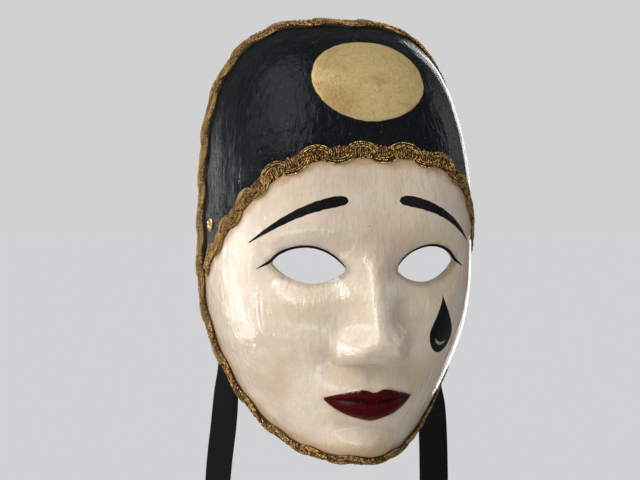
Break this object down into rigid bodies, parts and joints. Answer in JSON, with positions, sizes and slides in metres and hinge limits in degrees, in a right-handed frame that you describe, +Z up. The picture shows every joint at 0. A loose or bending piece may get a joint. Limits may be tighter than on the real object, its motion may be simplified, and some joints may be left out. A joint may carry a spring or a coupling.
{
  "type": "venetian masquerade mask",
  "caption": "Full-face papier-mache masquerade mask with a painted skullcap, gold disc, gold gimp braid, temple eyelets and two tie ribbons that swing on them.",
  "frame": {"origin": "on the plane of symmetry, at the wearer's eye height, in the plane of the rearmost rim", "axes": "+Z up the face, +X to the wearer's left, the face looks along -Y and the open back is towards +Y"},
  "size_m": [0.1554, 0.1235, 0.5484],
  "materials": {
    "painted_paper": "cream and black paint under a crackled gloss varnish, bare brown paper inside",
    "gold_leaf": "brushed gold leaf with brown patina",
    "gold_braid": "metallic gold gimp braid of cords and zigzag threads",
    "eyelet_brass": "satin",
    "ribbon_cloth": "ribbed grosgrain"
  },
  "bodies": {
    "mask": {"paper_shell": "painted_paper", "gold_disc": "gold_leaf", "rim_braid": "gold_braid", "forehead_braid": "gold_braid", "eyelet_left": "eyelet_brass", "eyelet_right": "eyelet_brass", "washer_left": "eyelet_brass", "washer_right": "eyelet_brass"},
    "left_tie": {"ribbon_left": "ribbon_cloth"},
    "right_tie": {"ribbon_right": "ribbon_cloth"}
  },
  "joints": [
    {"name": "left_tie_swing", "type": "hinge", "parent": "mask", "child": "left_tie", "pos_m": [0.07329, -0.023, 0.02], "axis": [0.9962, -0.0872, 0], "range_deg": [0, 100]},
    {"name": "right_tie_swing", "type": "hinge", "parent": "mask", "child": "right_tie", "pos_m": [-0.07329, -0.023, 0.02], "axis": [0.9962, 0.0872, 0], "range_deg": [0, 100]}
  ]
}
